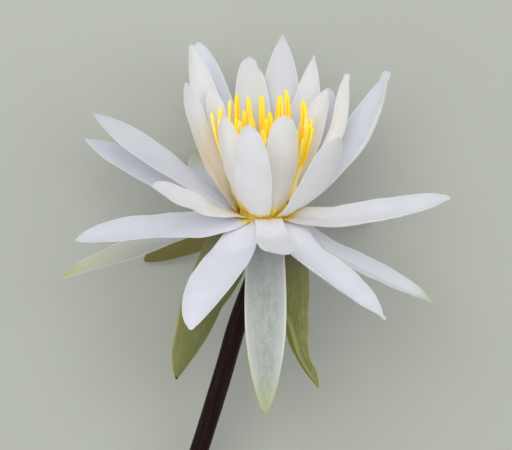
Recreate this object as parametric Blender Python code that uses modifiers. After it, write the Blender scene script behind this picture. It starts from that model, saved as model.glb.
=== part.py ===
"""A white water lily flower, picked with its stem and laid on a table.

The bloom is modelled upright about its own axis, with local +Z along the axis and
local -Y its front. The bloom_frame empty then tips it over, so that it rests on its
rear petals, its rear sepal and the end of its stem. The table_frame empty sets the
whole flower about the origin, with the table at z = 0.
"""

import math
from collections import namedtuple

import bmesh
import bpy
from mathutils import Matrix, Vector

MM = 0.001

# Driving sizes. Lengths are in millimetres and angles in degrees.
BLOOM_RISE = 16.0  # how far the bloom's axis points up from the table
HEART_HEIGHT = 51.0  # height of the heart's centre above the table
CLEARANCE = 0.35  # gap that neighbouring pieces keep where they meet

STEM_RADIUS = 3.1
STEM_BEND = Vector((-11, -42, 32))  # where the stem turns down to the table
STEM_CUT = Vector((-36, -118, STEM_RADIUS))  # centre of its cut end

# The heart: the swollen ovary that everything grows from, as (height, radius).
HEART_TOP, HEART_BOTTOM = 9.6, -8.6
HEART_PROFILE = (
    (HEART_TOP, 0.0),
    (HEART_TOP, 4.2),
    (9.0, 5.3),
    (7.0, 6.6),
    (5.0, 7.4),
    (3.0, 7.8),
    (1.0, 7.8),
    (-1.0, 7.5),
    (-3.0, 6.8),
    (-5.0, 5.6),
    (-7.0, 4.0),
    (HEART_BOTTOM, 3.2),
    (HEART_BOTTOM, 0.0),
)
HEART_STEPS = 20

# The stigma: a shallow bowl on top of the heart, whose rim rises into short styles.
# Its section runs from the middle of the underside to the middle of the bowl, as
# (radius, height above the heart).
STIGMA_PROFILE = (
    (0.0, 0.0),
    (2.6, 0.0),
    (4.0, 0.4),
    (4.9, 1.6),
    (5.2, 3.0),
    (4.3, 3.0),
    (3.2, 1.6),
    (1.4, 1.1),
    (0.0, 1.5),
)
STIGMA_RIM = (4, 5)  # the two rings of the section that form the rim
STYLE_COUNT = 12
STYLE_HEIGHT, STYLE_CURL = 2.4, 0.5  # how far a style rises, and leans in

# Height on the heart at which each whorl is attached.
WHORL_HEIGHT = {
    "sepal": -5.2,
    "outer": -3.2,
    "spread": -1.1,
    "cup": 1.0,
    "inner": 3.1,
    "core": 5.1,
    "stamen": 6.9,
    "inner_stamen": 8.5,
}

# place     azimuth of the attachment, from the front towards +X
# heading   azimuth that the blade turns to soon after it leaves the heart
# rise      the midrib's angle above the bloom's equator, at the base and at the tip
# bend      1 spreads the change of rise evenly, more puts it towards the tip
# belly     share of the length at which the blade is widest
# point     0.5 is a round tip, 1 a sharp one
# cup       half the angle that the blade's cross-section curls through
# roll      turn of the cross-section about the midrib, taken by mid-length
# sweep     sideways turn of the midrib from base to tip
Blade = namedtuple(
    "Blade",
    "name whorl place heading rise bend length width belly point cup roll sweep",
)

SEPALS = (
    Blade("sepal_front", "sepal", 2, 0, (-30, -80), 0.6, 59, 14.5, 0.4, 0.6, 22, 0, 0),
    Blade("sepal_right", "sepal", 82, 84, (-84, -70), 2.5, 55, 14, 0.4, 0.8, 44, -40, 0),
    Blade("sepal_back", "sepal", 190, 230, (-24, -18), 1.0, 60, 14, 0.45, 0.62, 22, 0, 8),
    Blade("sepal_left", "sepal", 282, 289, (-57, -71), 0.8, 53, 16, 0.5, 0.62, 26, 60, 0),
)

PETALS = (
    # Lowest whorl: arched or drooping. The two rear ones carry the bloom.
    Blade("petal_outer_1", "outer", 332, 339, (-4, -36), 1.0, 53, 16.5, 0.6, 0.52, 24, 10, 0),
    Blade("petal_outer_2", "outer", 34, 41, (-6, -28), 1.0, 56, 14, 0.58, 0.75, 26, 0, 0),
    Blade("petal_outer_3", "outer", 86, 88, (-24, -30), 1.0, 55, 13, 0.55, 0.8, 30, 15, 0),
    Blade("petal_outer_4", "outer", 146, 142, (-6, -17), 1.0, 55, 14, 0.6, 0.6, 22, 0, 0),
    Blade("petal_outer_5", "outer", 210, 201, (-6, 60), 2.5, 58, 13, 0.6, 0.6, 22, 0, 0),
    Blade("petal_outer_6", "outer", 268, 266, (-11, -22), 1.0, 63, 13, 0.55, 0.7, 24, -20, 0),
    # Second whorl: spread wide.
    Blade("petal_spread_1", "spread", 8, 6, (-4, 34), 2.0, 44, 14, 0.6, 0.5, 30, 0, 0),
    Blade("petal_spread_2", "spread", 68, 86, (8, 15), 1.0, 55, 13.5, 0.5, 0.55, 26, 20, 0),
    Blade("petal_spread_3", "spread", 126, 166, (26, 48), 1.0, 58, 13, 0.58, 0.6, 24, 0, 0),
    Blade("petal_spread_4", "spread", 184, 176, (4, 30), 1.0, 50, 14, 0.6, 0.6, 24, 0, 0),
    Blade("petal_spread_5", "spread", 242, 244, (15, 24), 1.0, 63, 13, 0.58, 0.7, 24, -15, 0),
    Blade("petal_spread_6", "spread", 303, 282, (8, -9), 1.0, 57, 14, 0.58, 0.7, 24, -20, 0),
    # Third whorl: the outside of the cup, with its left petals fallen open.
    Blade("petal_cup_1", "cup", 352, 351, (40, 76), 1.0, 47, 13, 0.6, 0.5, 30, 0, 0),
    Blade("petal_cup_2", "cup", 42, 35, (34, 62), 1.0, 48, 14, 0.6, 0.6, 30, 0, 0),
    Blade("petal_cup_3", "cup", 106, 131, (32, 64), 1.4, 61, 13, 0.58, 0.6, 34, 0, 0),
    Blade("petal_cup_4", "cup", 162, 176, (46, 72), 1.0, 62, 15, 0.56, 0.8, 26, 0, 0),
    Blade("petal_cup_5", "cup", 208, 207, (38, 64), 1.0, 64, 15, 0.62, 0.55, 26, -30, 0),
    Blade("petal_cup_6", "cup", 254, 249, (28, 32), 1.0, 60, 13, 0.58, 0.65, 26, -15, 0),
    Blade("petal_cup_7", "cup", 304, 308, (22, 29), 1.0, 40, 12, 0.6, 0.55, 30, -20, 0),
    # Fourth whorl: the inside of the cup.
    Blade("petal_inner_1", "inner", 20, 14, (56, 84), 1.0, 40, 12, 0.62, 0.5, 34, 0, 0),
    Blade("petal_inner_2", "inner", 98, 136, (41, 68), 1.0, 50, 10, 0.62, 0.6, 30, 0, 0),
    Blade("petal_inner_3", "inner", 138, 162, (47, 65), 1.0, 54, 13, 0.5, 0.8, 28, 0, 0),
    Blade("petal_inner_4", "inner", 186, 191, (52, 70), 1.0, 51, 13, 0.6, 0.55, 28, 0, 0),
    Blade("petal_inner_5", "inner", 224, 217, (48, 70), 1.0, 58, 12, 0.55, 0.62, 28, 0, 0),
    Blade("petal_inner_6", "inner", 268, 250, (54, 80), 1.0, 46, 13, 0.58, 0.55, 30, 0, 0),
    # Fifth whorl: the short petals round the stamens.
    Blade("petal_core_1", "core", 124, 149, (50, 62), 1.0, 41, 11, 0.6, 0.6, 32, 0, 0),
    Blade("petal_core_2", "core", 234, 208, (51, 65), 1.0, 40, 10, 0.62, 0.5, 32, 0, 0),
    Blade("petal_core_3", "core", 318, 326, (58, 82), 1.0, 36, 10, 0.6, 0.55, 32, 0, 0),
)

# Two rings of stamens. Each stamen's lean and length stray a little from its ring's.
STAMEN_STRAY_ANGLE, STAMEN_STRAY_LENGTH = 3.0, 1.8
OUTER_STAMENS = {
    "ring": "outer",
    "whorl": "stamen",
    "count": 14,
    "offset": 0.5,  # share of a step by which the ring is turned
    "rise": (62, 84),
    "length": 30.5,
    "rear_extra": 3.5,  # longer at the rear by this, and shorter at the front
    "width": 2.4,
}
INNER_STAMENS = {
    "ring": "inner",
    "whorl": "inner_stamen",
    "count": 11,
    "offset": 0.0,
    "rise": (70, 90),
    "length": 25.0,
    "rear_extra": 0.0,
    "width": 2.2,
}

# A blade is a sphere reshaped: (sides, rings), and its thickness at the base and the tip.
PETAL_GRID, PETAL_THICKNESS = (10, 10), (1.2, 0.6)
SEPAL_GRID, SEPAL_THICKNESS = (10, 10), (1.5, 0.8)
STAMEN_GRID, STAMEN_THICKNESS = (6, 8), (1.0, 0.7)
RING_CROWDING = 1.4  # above 1, rings crowd towards the tip, where the outline turns
TURN_SHARE = 0.3  # share of the length in which a blade turns to its heading
ROLL_SHARE = 0.5  # share of the length in which it takes its roll
BASE_LEAD = 0.35  # how broad a blade starts: its outline begins this far along its curve


def heart_radius(height):
    """Radius of the heart at a height on its axis."""
    for (top, top_radius), (low, low_radius) in zip(HEART_PROFILE, HEART_PROFILE[1:]):
        if low <= height <= top and top > low:
            return low_radius + (top_radius - low_radius) * (height - low) / (top - low)
    return 0.0


def ease(x):
    """Smooth step from 0 at x = 0 to 1 at x = 1."""
    x = min(max(x, 0.0), 1.0)
    return x * x * (3 - 2 * x)


def midrib(blade, thickness, count, samples=60):
    """Frames (share of length, point, tangent, side, face normal) from base to tip."""
    height = WHORL_HEIGHT[blade.whorl]
    lean = math.sin(math.radians(abs(blade.rise[0])))
    standoff = heart_radius(height) + 0.2 + CLEARANCE + thickness / 2 * lean
    place = math.radians(blade.place)
    point = Vector((standoff * math.sin(place), -standoff * math.cos(place), height))
    step = blade.length / samples
    walked = []
    for k in range(samples + 1):
        s = k / samples
        turned = (blade.heading - blade.place) * ease(s / TURN_SHARE) + blade.sweep * s * s
        azimuth = place + math.radians(turned)
        rise = math.radians(blade.rise[0] + (blade.rise[1] - blade.rise[0]) * s**blade.bend)
        outward = Vector((math.sin(azimuth), -math.cos(azimuth), 0))
        tangent = outward * math.cos(rise) + Vector((0, 0, math.sin(rise)))
        if k:
            point = point + tangent * step
        roll = math.radians(blade.roll) * ease(s / ROLL_SHARE)
        side = Matrix.Rotation(roll, 3, tangent) @ Vector((math.cos(azimuth), math.sin(azimuth), 0))
        walked.append((s, point, tangent, side, tangent.cross(side)))
    shares = [1 - (1 - i / count) ** RING_CROWDING for i in range(count + 1)]
    return [walked[round(share * samples)] for share in shares]


def outline(blade, s):
    """Half-width as a share of its largest, which it has at the belly."""
    start = blade.point * (blade.belly + BASE_LEAD) / (1 - blade.belly)
    largest = (blade.belly + BASE_LEAD) ** start * (1 - blade.belly) ** blade.point
    return (s + BASE_LEAD) ** start * (1 - s) ** blade.point / largest


def sphere_place(vert, rings):
    """Ring (0 at the lower pole) and angle round the axis of a unit sphere's vertex."""
    polar = math.acos(max(-1.0, min(1.0, vert.co.z)))
    return rings - round(polar / math.pi * rings), math.atan2(vert.co.y, vert.co.x)


def blade_mesh(blade, grid, thickness):
    """A closed blade with a lens-shaped section, made by reshaping a sphere along the midrib."""
    sides, rings = grid
    frames = midrib(blade, thickness[0], rings)
    curl = math.radians(blade.cup)
    bm = bmesh.new()
    bmesh.ops.create_uvsphere(bm, u_segments=sides, v_segments=rings + 1, radius=1)
    for vert in bm.verts:
        ring, around = sphere_place(vert, rings + 1)
        at_pole = ring in (0, rings + 1)
        across = 0.0 if at_pole else math.cos(around)
        lift = 0.0 if at_pole else math.sin(around)
        s, point, tangent, side, face = frames[max(ring - 1, 0)]
        radius = blade.width / 2 * outline(blade, s) / curl
        angle = across * curl
        half_thick = (thickness[0] + (thickness[1] - thickness[0]) * s) / 2
        skin = face * math.cos(angle) - side * math.sin(angle)
        on_arc = side * math.sin(angle) + face * (1 - math.cos(angle))
        vert.co = (point + on_arc * radius + skin * half_thick * lift) * MM
    mesh = bpy.data.meshes.new(blade.name)
    bm.to_mesh(mesh)
    bm.free()
    mesh.shade_smooth()
    return mesh


def material(name, colour, roughness):
    """A plain Principled material."""
    made = bpy.data.materials.new(name)
    made.use_nodes = True
    shader = made.node_tree.nodes["Principled BSDF"]
    shader.inputs["Base Color"].default_value = (*colour, 1)
    shader.inputs["Roughness"].default_value = roughness
    shader.inputs["Metallic"].default_value = 0.0
    return made


def add_object(name, data, finish, parent, collection):
    """Links an object of this mesh or curve, with its material, under its parent empty."""
    data.materials.append(finish)
    made = bpy.data.objects.new(name, data)
    made.parent = parent
    collection.objects.link(made)
    return made


def add_blades(blades, grid, thickness, finish, parent, collection):
    """One object for each sepal, petal or stamen."""
    for blade in blades:
        add_object(blade.name, blade_mesh(blade, grid, thickness), finish, parent, collection)


def stamen_ring(ring):
    """The blades of one ring of stamens, which lean out and straighten towards their tips."""
    made = []
    for k in range(ring["count"]):
        azimuth = 360 * (k + ring["offset"]) / ring["count"]
        stray = STAMEN_STRAY_ANGLE * math.cos(2.4 * k)
        rise = tuple(angle + stray for angle in ring["rise"])
        length = ring["length"] - ring["rear_extra"] * math.cos(math.radians(azimuth))
        length += STAMEN_STRAY_LENGTH * math.sin(1.7 * k)
        name = f"stamen_{ring['ring']}_{k + 1:02d}"
        width = ring["width"]
        made.append(
            Blade(name, ring["whorl"], azimuth, azimuth, rise, 1.0, length, width, 0.75, 0.5, 30, 0, 0)
        )
    return made


def add_heart(finish, parent, collection):
    """The ovary, turned from its profile."""
    bm = bmesh.new()
    verts = [bm.verts.new(Vector((radius, 0, height)) * MM) for height, radius in HEART_PROFILE]
    for low, high in zip(verts, verts[1:]):
        bm.edges.new((low, high))
    mesh = bpy.data.meshes.new("heart")
    bm.to_mesh(mesh)
    bm.free()
    made = add_object("heart", mesh, finish, parent, collection)
    screw = made.modifiers.new("Turn", "SCREW")
    screw.steps = screw.render_steps = HEART_STEPS
    screw.use_merge_vertices = True
    screw.merge_threshold = 0.00001


def add_stigma(finish, parent, collection):
    """The stigmatic bowl, a sphere reshaped to its section, with two sides to a style."""
    rings = len(STIGMA_PROFILE) - 1
    bm = bmesh.new()
    bmesh.ops.create_uvsphere(bm, u_segments=2 * STYLE_COUNT, v_segments=rings, radius=1)
    for vert in bm.verts:
        ring, around = sphere_place(vert, rings)
        radius, height = STIGMA_PROFILE[ring]
        if ring in STIGMA_RIM:
            crest = 0.5 + 0.5 * math.cos(STYLE_COUNT * around)
            radius -= STYLE_CURL * crest
            height += STYLE_HEIGHT * crest
        height += HEART_TOP + CLEARANCE
        vert.co = Vector((radius * math.cos(around), radius * math.sin(around), height)) * MM
    mesh = bpy.data.meshes.new("stigma")
    bm.to_mesh(mesh)
    bm.free()
    add_object("stigma", mesh, finish, parent, collection)


def add_stem(finish, bloom_to_table, parent, collection):
    """The cut stem: out of the heart along the bloom's axis, then down until it lies on the table."""
    axis = bloom_to_table.to_3x3() @ Vector((0, 0, 1))
    top = bloom_to_table @ Vector((0, 0, (HEART_BOTTOM - CLEARANCE) * MM))
    curve = bpy.data.curves.new("stem", "CURVE")
    curve.dimensions = "3D"
    curve.resolution_u = 8
    curve.bevel_depth = STEM_RADIUS * MM
    curve.bevel_resolution = 3
    curve.use_fill_caps = True
    places = (top, STEM_BEND * MM, STEM_CUT * MM)
    reaches = (axis * -6, Vector((-4, -15, -5)), Vector((-9, -22, -0.5)))
    spline = curve.splines.new("BEZIER")
    spline.bezier_points.add(len(places) - 1)
    for point, place, reach in zip(spline.bezier_points, places, reaches):
        point.co = place
        point.handle_right = place + reach * MM
        point.handle_left = place - reach * MM
    add_object("stem", curve, finish, parent, collection)


def add_empty(name, parent, collection):
    """An empty that other objects are placed by."""
    empty = bpy.data.objects.new(name, None)
    empty.parent = parent
    collection.objects.link(empty)
    return empty


def centre_footprint(table_frame, collection):
    """Moves the flower so that its box stands on z = 0, centred on the origin."""
    bpy.context.view_layer.update()
    graph = bpy.context.evaluated_depsgraph_get()
    points = []
    for obj in collection.objects:
        if obj.type == "EMPTY":
            continue
        shown = obj.evaluated_get(graph)
        mesh = shown.to_mesh()
        points += [shown.matrix_world @ vert.co for vert in mesh.vertices]
        shown.to_mesh_clear()
    low, high = (Vector([pick(p[k] for p in points) for k in range(3)]) for pick in (min, max))
    table_frame.location = (-(low.x + high.x) / 2, -(low.y + high.y) / 2, -low.z)


def main():
    for obj in list(bpy.data.objects):
        bpy.data.objects.remove(obj)
    flower = bpy.data.collections.new("water_lily_flower")
    bpy.context.scene.collection.children.link(flower)

    table_frame = add_empty("table_frame", None, flower)
    bloom_frame = add_empty("bloom_frame", table_frame, flower)
    bloom_frame.location.z = HEART_HEIGHT * MM
    bloom_frame.rotation_euler.x = math.radians(BLOOM_RISE - 90)
    lay_down = Matrix.Rotation(bloom_frame.rotation_euler.x, 4, "X")
    bloom_to_table = Matrix.Translation(bloom_frame.location) @ lay_down

    petal_white = material("petal_white", (0.92, 0.92, 0.93), 0.45)
    sepal_green = material("sepal_green", (0.55, 0.60, 0.38), 0.5)
    stamen_yellow = material("stamen_yellow", (0.98, 0.74, 0.05), 0.5)
    heart_cream = material("heart_cream", (0.88, 0.78, 0.40), 0.5)
    stem_maroon = material("stem_maroon", (0.06, 0.02, 0.02), 0.45)

    add_stem(stem_maroon, bloom_to_table, table_frame, flower)
    add_heart(heart_cream, bloom_frame, flower)
    add_stigma(stamen_yellow, bloom_frame, flower)
    add_blades(SEPALS, SEPAL_GRID, SEPAL_THICKNESS, sepal_green, bloom_frame, flower)
    add_blades(PETALS, PETAL_GRID, PETAL_THICKNESS, petal_white, bloom_frame, flower)
    for ring in (OUTER_STAMENS, INNER_STAMENS):
        stamens = stamen_ring(ring)
        add_blades(stamens, STAMEN_GRID, STAMEN_THICKNESS, stamen_yellow, bloom_frame, flower)
    centre_footprint(table_frame, flower)


main()
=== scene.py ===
import bpy
import bmesh
import math
import random
from mathutils import Matrix, Vector, noise


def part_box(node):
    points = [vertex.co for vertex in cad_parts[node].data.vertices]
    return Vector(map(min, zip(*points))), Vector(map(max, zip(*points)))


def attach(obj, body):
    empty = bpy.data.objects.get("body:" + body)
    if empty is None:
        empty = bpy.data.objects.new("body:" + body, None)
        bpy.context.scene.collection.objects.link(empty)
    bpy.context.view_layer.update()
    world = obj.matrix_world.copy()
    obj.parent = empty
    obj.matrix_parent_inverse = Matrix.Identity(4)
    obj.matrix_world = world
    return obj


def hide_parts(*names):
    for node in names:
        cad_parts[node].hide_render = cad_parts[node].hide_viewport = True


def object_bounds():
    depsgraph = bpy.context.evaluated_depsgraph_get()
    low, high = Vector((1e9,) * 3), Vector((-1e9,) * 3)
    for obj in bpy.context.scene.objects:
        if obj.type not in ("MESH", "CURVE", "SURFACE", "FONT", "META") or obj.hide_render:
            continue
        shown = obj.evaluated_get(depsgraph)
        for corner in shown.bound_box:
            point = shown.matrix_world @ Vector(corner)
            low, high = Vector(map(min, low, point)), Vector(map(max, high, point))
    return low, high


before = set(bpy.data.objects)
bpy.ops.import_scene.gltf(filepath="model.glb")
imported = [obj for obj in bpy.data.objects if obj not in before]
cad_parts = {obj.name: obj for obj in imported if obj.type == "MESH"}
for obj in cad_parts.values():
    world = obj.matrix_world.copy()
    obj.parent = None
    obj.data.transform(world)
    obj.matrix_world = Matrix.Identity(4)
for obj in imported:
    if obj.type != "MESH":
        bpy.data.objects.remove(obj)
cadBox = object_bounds()
print("frame loaded:", len(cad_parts), "nodes")

mm = 0.001
tilt = math.radians(16)  # how far the flower's axis looks up from the table
bloomAxis = Vector((0, math.cos(tilt), math.sin(tilt)))
bloomFront = Vector((0, -math.sin(tilt), math.cos(tilt)))
heartLow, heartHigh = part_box("heart")
heartPoint = (heartLow + heartHigh) / 2 - bloomAxis * 0.5 * mm


class Wire:
    # a node's output, so that shader maths reads as plain maths
    def __init__(self, finish, socket):
        self.finish = finish
        self.socket = socket

    def math(self, operation, first, second=0.0):
        return self.finish.add("ShaderNodeMath", {"operation": operation}, {0: first, 1: second})

    def __add__(self, other):
        return self.math("ADD", self, other)

    def __radd__(self, other):
        return self.math("ADD", other, self)

    def __sub__(self, other):
        return self.math("SUBTRACT", self, other)

    def __rsub__(self, other):
        return self.math("SUBTRACT", other, self)

    def __mul__(self, other):
        return self.math("MULTIPLY", self, other)

    def __rmul__(self, other):
        return self.math("MULTIPLY", other, self)

    def __truediv__(self, other):
        return self.math("DIVIDE", self, other)

    def __pow__(self, other):
        return self.math("POWER", self, other)

    def __abs__(self):
        return self.math("ABSOLUTE", self)

    def sine(self):
        return self.math("SINE", self)


class Finish:
    # one procedural material round a Principled shader
    def __init__(self, name, constants):
        self.material = bpy.data.materials.new(name)
        self.material.use_nodes = True
        self.tree = self.material.node_tree
        self.shader = self.tree.nodes["Principled BSDF"]
        for socket, value in constants.items():
            self.shader.inputs[socket].default_value = value

    def add(self, kind, settings, sockets, output=0):
        node = self.tree.nodes.new(kind)
        for key, value in settings.items():
            setattr(node, key, value)
        for key, value in sockets.items():
            if isinstance(value, Wire):
                self.tree.links.new(value.socket, node.inputs[key])
            elif isinstance(value, tuple) and len(value) == 3 and node.inputs[key].type == "RGBA":
                node.inputs[key].default_value = (*value, 1)
            else:
                node.inputs[key].default_value = value
        return Wire(self, node.outputs[output])

    def attribute(self, name):
        # one of the numbers that the shaping code leaves on each vertex
        return self.add("ShaderNodeAttribute", {"attribute_name": name}, {}, "Fac")

    def mix(self, mask, first, second):
        return self.add("ShaderNodeMix", {"data_type": "RGBA"}, {0: mask, 6: first, 7: second}, 2)

    def step(self, value, low, high):
        # 0 below low, 1 above high, smooth between
        settings = {"interpolation_type": "SMOOTHSTEP"}
        return self.add("ShaderNodeMapRange", settings, {"Value": value, "From Min": low, "From Max": high})

    def position(self, stretch=(1, 1, 1)):
        place = self.add("ShaderNodeTexCoord", {}, {}, "Object")
        return self.add("ShaderNodeMapping", {"vector_type": "POINT"}, {"Vector": place, "Scale": stretch})

    def cloud(self, vector, scale, detail=3.0):
        return self.add("ShaderNodeTexNoise", {}, {"Vector": vector, "Scale": scale, "Detail": detail})

    def cells(self, vector, scale):
        return self.add("ShaderNodeTexVoronoi", {}, {"Vector": vector, "Scale": scale})

    def vector(self, x, y, z):
        return self.add("ShaderNodeCombineXYZ", {}, {"X": x, "Y": y, "Z": z})

    def feed(self, socket, wire):
        self.tree.links.new(wire.socket, self.shader.inputs[socket])

    def bump(self, height, distance, strength=1.0):
        sockets = {"Height": height, "Distance": distance, "Strength": strength}
        self.feed("Normal", self.add("ShaderNodeBump", {}, sockets))


petalLook = {
    "warm": (0.85, 0.84, 0.81),
    # painted sky light: a blue cast standing in for the sky's light on the petals
    "paintedSkyBlue": (0.755, 0.77, 0.905),
    "vein": (0.70, 0.71, 0.67),
    "cream": (0.94, 0.88, 0.66),
    "gold": (0.87, 0.61, 0.02),
    # painted shade: the grey laid on blades that sit in shade
    "paintedShade": (0.56, 0.57, 0.60),
    "olive": (0.50, 0.54, 0.26),
    # the painted highlight along the margins
    "rim": (0.97, 0.97, 0.96),
    "veins": 9,
    "ribsPerVein": 3.1,
    "patchScale": 55.0,
    "cellScale": 2600.0,
    "roughness": 0.40,
}


def petalFinish(look):
    finish = Finish("petalSkin", {
        "Subsurface Weight": 0.45,
        "Subsurface Scale": 0.002,
        "Subsurface Radius": (1.0, 0.9, 0.7),
        "Specular IOR Level": 0.35,
        "Sheen Weight": 0.08,
    })
    along = finish.attribute("along")
    across = finish.attribute("across")
    inner = finish.attribute("inner")
    paintedSkyBlue = finish.attribute("paintedSkyBlue")
    cream = finish.attribute("cream")
    olive = finish.attribute("olive")
    oliveTip = finish.attribute("oliveTip")
    rim = finish.step(abs(across), 0.87, 0.985)

    # veins run from base to tip and wander a little
    track = finish.vector(across * 2.0, along * 0.7, inner)
    wander = finish.cloud(track, 2.2)
    lines = (across * (look["veins"] * math.pi) + wander * 2.4).sine() * 0.5 + 0.5
    veins = lines ** 5.0 * (1 - rim)
    patches = finish.cloud(finish.position(), look["patchScale"], 4.0)

    # white, warm or with a painted blue cast of sky light, then cream and gold towards the foot
    colour = finish.mix(paintedSkyBlue, look["warm"], look["paintedSkyBlue"])
    colour = finish.mix(veins * 0.10 + patches * 0.10, colour, look["vein"])
    shade = finish.step(along, 0.55, 0.0) * cream
    colour = finish.mix(shade * (0.75 + patches * 0.3), colour, look["cream"])
    glow = finish.step(along, 0.36, 0.03) * finish.step(abs(across), 0.3, 1.0) * cream * 1.1
    foot = finish.step(along / (0.35 + cream), 0.20, 0.03)
    colour = finish.mix(glow * (0.6 + inner * 0.4), colour, look["gold"])
    colour = finish.mix(foot, colour, look["gold"])

    # painted shade, and green, where the blade's own marks say so
    paintedShadeShare = finish.attribute("paintedShade") * (0.7 + patches * 0.5) * finish.step(along, 0.15, 0.55)
    colour = finish.mix(paintedShadeShare, colour, look["paintedShade"])
    green = olive * (0.65 + patches * 0.5) * (1 - rim * 0.5) * finish.step(along, 0.35, 0.8)
    colour = finish.mix(green, colour, look["olive"])
    tip = finish.step(along, 0.82, 1.0) * oliveTip
    colour = finish.mix(tip, colour, look["olive"])

    # a painted highlight along the margin, broader where it is rolled over, with painted shade in a crease
    # beside it
    toLip = across * finish.attribute("lip")
    crease = finish.step(toLip, 0.36, 0.50) * finish.step(toLip, 0.60, 0.50) * finish.step(along, 0.3, 0.6)
    colour = finish.mix(crease * 0.45, colour, look["paintedShade"])
    lip = finish.step(toLip, 0.50, 0.60) * 0.7
    pale = finish.step(along, 0.2, 0.45) * (rim * 0.85 + lip * (1 - rim * 0.85))
    colour = finish.mix(pale, colour, look["rim"])
    finish.feed("Base Color", colour)
    finish.feed("Roughness", look["roughness"] + patches * 0.16 + rim * 0.08)

    # fine lengthwise ribs, and the skin's cells on top
    ribs = (across * (look["veins"] * look["ribsPerVein"] * math.pi) + wander * 3.0).sine()
    cells = finish.cells(finish.position(), look["cellScale"])
    finish.bump(ribs * 0.10 + lines * 0.16 + patches * 0.9 + cells * 0.06, 0.00018, 0.5)
    return finish.material


sepalLook = {
    "outside": (0.33, 0.335, 0.09),
    "outsideDark": (0.18, 0.19, 0.06),
    "outsideWarm": (0.27, 0.25, 0.07),
    "outsideSpeck": (0.42, 0.44, 0.18),
    "inside": (0.53, 0.54, 0.53),
    "stripe": (0.30, 0.35, 0.29),
    "rim": (0.74, 0.76, 0.66),
    "edge": (0.48, 0.50, 0.12),
    "tip": (0.42, 0.46, 0.18),
    "foot": (0.22, 0.17, 0.12),
    "band": (0.29, 0.245, 0.008),
    # the painted highlight along the ridge beside the band
    "ridge": (0.52, 0.55, 0.22),
    "gold": (0.19, 0.145, 0.02),
    "scorch": (0.02, 0.012, 0.01),
    "patchScale": 70.0,
    "cellScale": 1500.0,
    "speckleScale": 620.0,
}


def sepalFinish(look):
    finish = Finish("sepalSkin", {
        "Subsurface Weight": 0.06,
        "Subsurface Scale": 0.001,
        "Specular IOR Level": 0.4,
    })
    along = finish.attribute("along")
    across = finish.attribute("across")
    inner = finish.attribute("inner")
    face = finish.step(inner, 0.35, 0.65)
    rim = finish.step(abs(across), 0.84, 0.97)
    track = finish.vector(across * 2.2, along * 0.8, inner)
    wander = finish.cloud(track, 2.5)
    streaks = finish.cloud(finish.vector(across * 11.0, along * 1.5, inner * 3.0), 2.0, 5.0)
    lines = (across * 21.0 + wander * 9.0).sine() * 0.5 + 0.5
    patches = finish.cloud(finish.position(), look["patchScale"], 4.0)
    threads = finish.cloud(finish.vector(across * 34.0, along * 2.4, inner * 3.0), 1.6, 4.0)
    cells = finish.cells(finish.position((1, 0.55, 1)), look["cellScale"])
    speckle = finish.cloud(finish.position((1, 0.4, 1)), look["speckleScale"], 4.0)

    # the inside: pale, with grey-green threads and mottling that gather down the middle
    centre = finish.step(abs(across), 0.98, 0.35)
    stripe = lines ** 2.0 * 0.22 + finish.step(threads, 0.40, 0.70) * 0.85
    stripe = stripe * finish.step(streaks, 0.25, 0.65)
    mottle = finish.step(speckle, 0.40, 0.60) * 0.6 + finish.step(cells, 0.2, 0.6) * 0.5
    beyond = finish.step(along, 0.35, 0.65)
    dark = stripe * (0.12 + centre * 0.26) + centre * (0.12 + mottle * 0.42 + beyond * 0.15)
    inside = finish.mix(dark, look["inside"], look["stripe"])
    inside = finish.mix(finish.step(along, 0.72, 1.05) * 0.8, inside, look["tip"])

    # the outside: olive, streaked and patched
    outside = finish.mix(finish.step(streaks, 0.3, 0.75), look["outside"], look["outsideDark"])
    outside = finish.mix(finish.step(patches, 0.45, 0.8) * 0.5, outside, look["outsideWarm"])
    outside = finish.mix(finish.step(speckle, 0.45, 0.65) * 0.30, outside, look["outsideSpeck"])
    outside = finish.mix(finish.step(along, 0.4, 0.05) * 0.8, outside, look["foot"])
    # painted shade: the outside darker where the blade's shade mark says so
    outside = finish.mix(finish.attribute("paintedShade"), outside, look["outsideDark"])
    outside = finish.mix(finish.attribute("olive") * 0.8, outside, look["gold"])

    # a golden band with a painted highlight along a ridge beside it, which drifts across the blade towards
    # the tip
    band = finish.attribute("band")
    drift = across + finish.step(along, 0.35, 0.68) * 0.75
    ridge = finish.step(drift, 0.25, 0.50) * finish.step(drift, 0.70, 0.60) * finish.step(along, 0.35, 0.55)
    outside = finish.mix(ridge * band * 0.75, outside, look["ridge"])
    outside = finish.mix(finish.step(drift, 0.60, 0.70) * band * 0.9, outside, look["band"])

    # both sides share a lime rim, and one tip is scorched
    colour = finish.mix(face, outside, inside)
    scorched = finish.step(along, 0.975, 0.992) * finish.attribute("darkTip")
    lime = finish.mix(finish.step(along, 0.45, 0.95), look["rim"], look["edge"])
    rimShare = face * 0.85 + (1 - face) * finish.step(along, 0.4, 0.75) * 0.45
    colour = finish.mix(rim * rimShare, colour, lime)
    colour = finish.mix(scorched, colour, look["scorch"])
    finish.feed("Base Color", colour)
    finish.feed("Roughness", 0.42 + patches * 0.2)
    finish.bump(lines * 0.15 + threads * 0.5 + patches * 0.6 + cells * 0.3, 0.0002, 0.5)
    return finish.material


stamenLook = {
    "filament": (0.94, 0.82, 0.42),
    "anther": (0.98, 0.60, 0.004),
    "tip": (1.0, 0.82, 0.06),
    "groove": (0.88, 0.42, 0.005),
    "pollen": (0.98, 0.82, 0.25),
    "deep": (0.92, 0.52, 0.02),
    "pale": (0.98, 0.86, 0.34),
    "pollenScale": 900.0,
    "patchScale": 120.0,
}


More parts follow.
